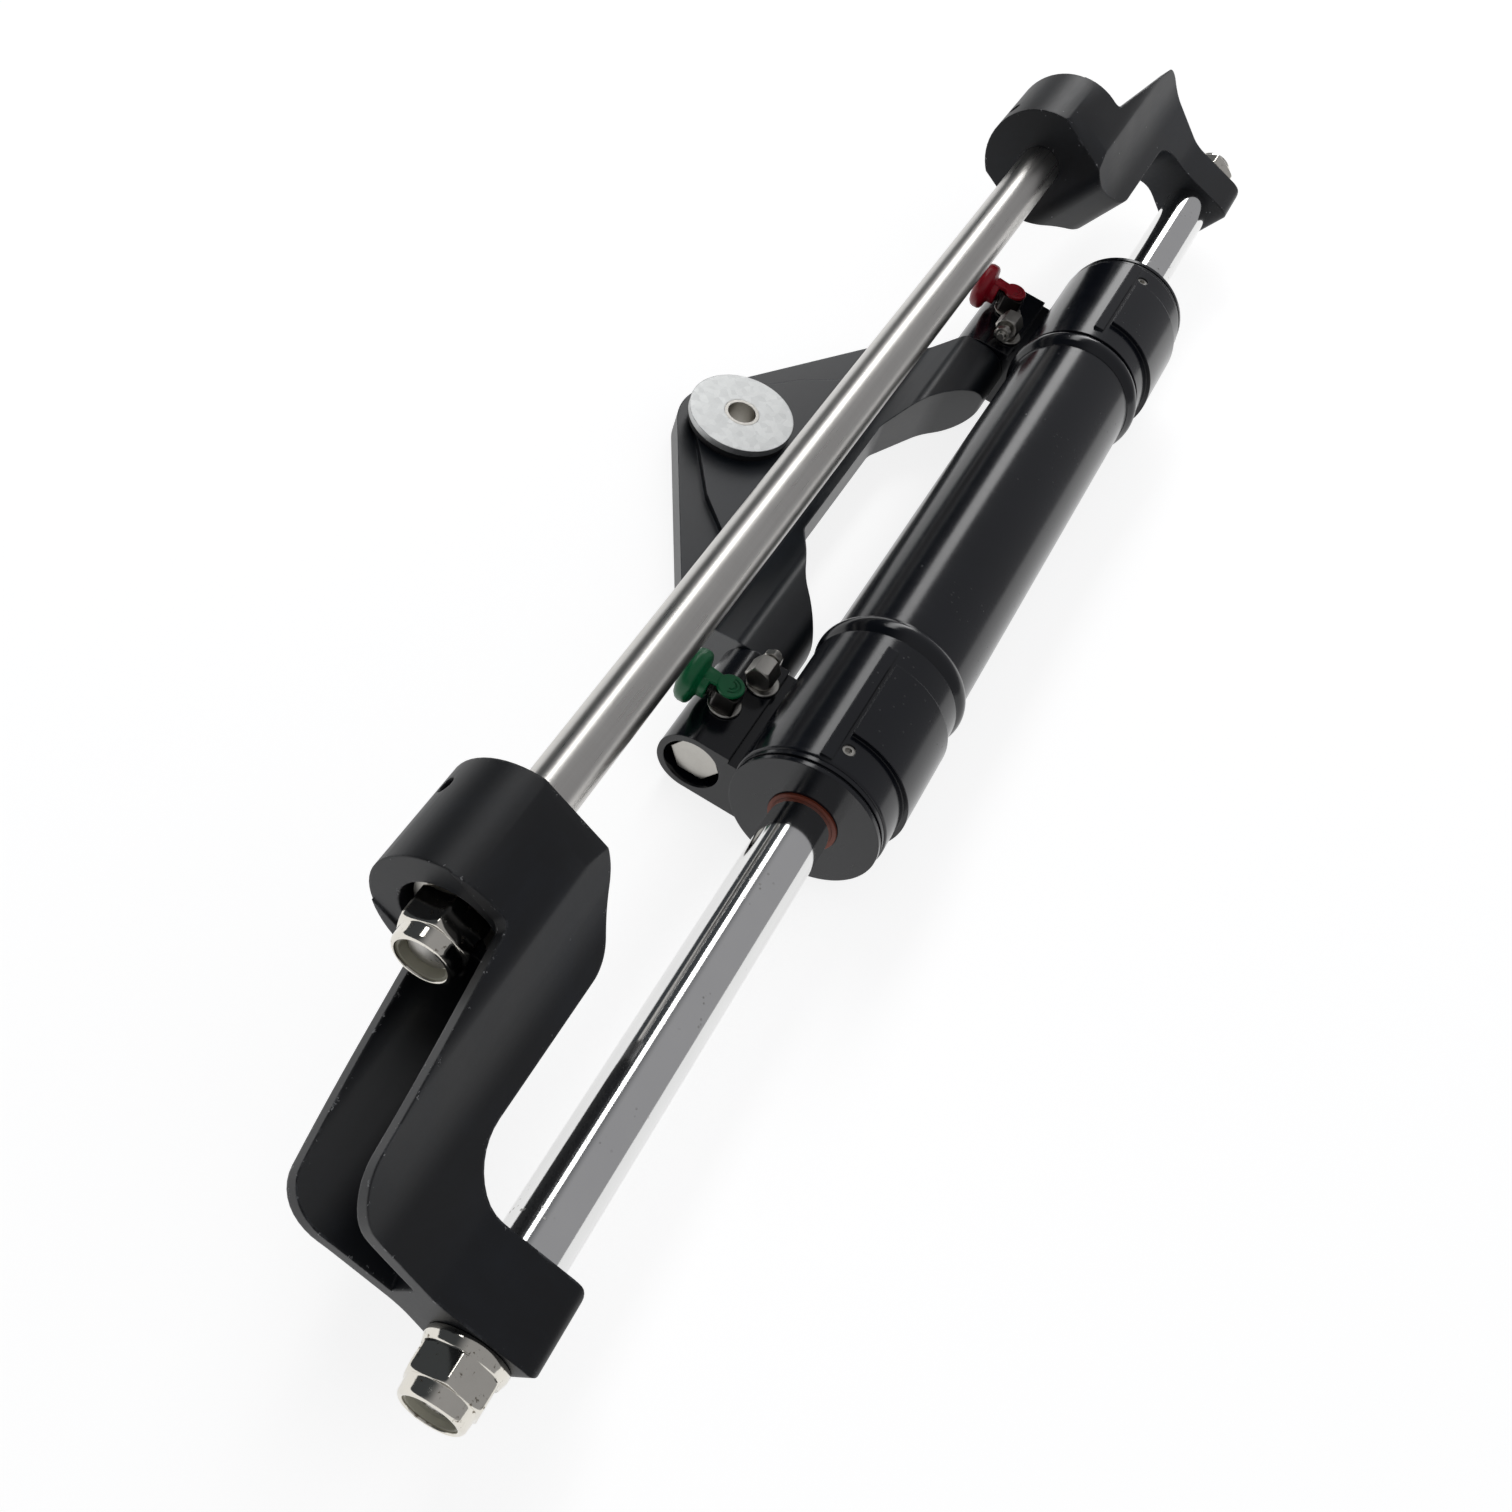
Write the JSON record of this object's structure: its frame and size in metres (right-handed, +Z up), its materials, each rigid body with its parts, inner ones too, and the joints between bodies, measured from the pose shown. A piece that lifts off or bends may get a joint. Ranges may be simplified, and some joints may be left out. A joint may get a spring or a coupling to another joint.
{
  "type": "hydraulic steering cylinder",
  "caption": "Side-mount outboard steering cylinder: barrel sliding on a through rod between end brackets, with a support rod and a forked tiller plate.",
  "frame": {"origin": "middle of the support rod, on its axis, half way between the two bracket bosses", "axes": "+X along the rods to the port end, +Y from the cylinder towards the tiller bore, +Z up along the tiller bore"},
  "size_m": [0.618, 0.142, 0.0833],
  "materials": {
    "brushed_stainless": "brushed",
    "hard_chrome": "polished",
    "bracket_black": "satin",
    "barrel_black": "glossy",
    "plate_black": "satin",
    "zinc_washer": "satin",
    "bright_nut": "polished",
    "dull_stainless": "satin",
    "nylon": "matte",
    "piston_alloy": "turned",
    "bush_bronze": "turned",
    "wiper_orange": "satin",
    "cap_green": "satin",
    "cap_red": "satin",
    "black_rubber": "matte"
  },
  "bodies": {
    "barrel": {"barrel_tube": "barrel_black", "end_block_lock_screws": "dull_stainless", "port_bleeder": "dull_stainless", "port_bleeder_nut": "dull_stainless", "port_end_block": "barrel_black", "port_fitting_rings": "dull_stainless", "port_gland": "barrel_black", "port_gland_ring": "black_rubber", "port_hose_cap": "cap_red", "port_hose_elbow": "dull_stainless", "port_pivot_bolt": "dull_stainless", "port_tube_ring": "barrel_black", "starboard_bleeder": "dull_stainless", "starboard_bleeder_nut": "dull_stainless", "starboard_end_block": "barrel_black", "starboard_fitting_rings": "dull_stainless", "starboard_gland": "barrel_black", "starboard_gland_ring": "black_rubber", "starboard_hose_cap": "cap_green", "starboard_hose_elbow": "dull_stainless", "starboard_pivot_bolt": "dull_stainless", "starboard_tube_ring": "barrel_black"},
    "rod_frame": {"piston": "piston_alloy", "piston_retaining_rings": "dull_stainless", "piston_rod": "hard_chrome", "piston_seal": "black_rubber", "piston_wear_rings": "nylon", "port_bracket": "bracket_black", "port_rod_nut": "bright_nut", "port_rod_nut_insert": "nylon", "port_support_nut": "bright_nut", "port_support_nut_insert": "nylon", "starboard_bracket": "bracket_black", "starboard_rod_nut": "bright_nut", "starboard_rod_nut_insert": "nylon", "starboard_support_nut": "bright_nut", "starboard_support_nut_insert": "nylon", "support_rod": "brushed_stainless", "support_rod_set_screws": "dull_stainless", "support_rod_washers": "dull_stainless"},
    "pivot_plate": {"pivot_plate": "plate_black", "port_pivot_bush": "bush_bronze", "starboard_pivot_bush": "bush_bronze", "tiller_cushion": "black_rubber", "tiller_sleeve": "dull_stainless", "tiller_washer": "zinc_washer"},
    "gland_seals": {"port_rod_seal": "black_rubber", "port_rod_wiper": "wiper_orange", "starboard_rod_seal": "black_rubber", "starboard_rod_wiper": "wiper_orange"}
  },
  "joints": [
    {"name": "steering_travel", "type": "slide", "parent": "rod_frame", "child": "gland_seals", "axis": [1, 0, 0], "range_m": [-0.131, 0.072]},
    {"name": "barrel_roll", "type": "hinge", "parent": "gland_seals", "child": "barrel", "pos_m": [0.0295, -0.056, -0.032], "axis": [1, 0, 0], "range_deg": [-180, 0]},
    {"name": "plate_tilt", "type": "hinge", "parent": "barrel", "child": "pivot_plate", "pos_m": [0.0295, -0.018, -0.0495], "axis": [1, 0, 0], "range_deg": [-40, 25]}
  ]
}
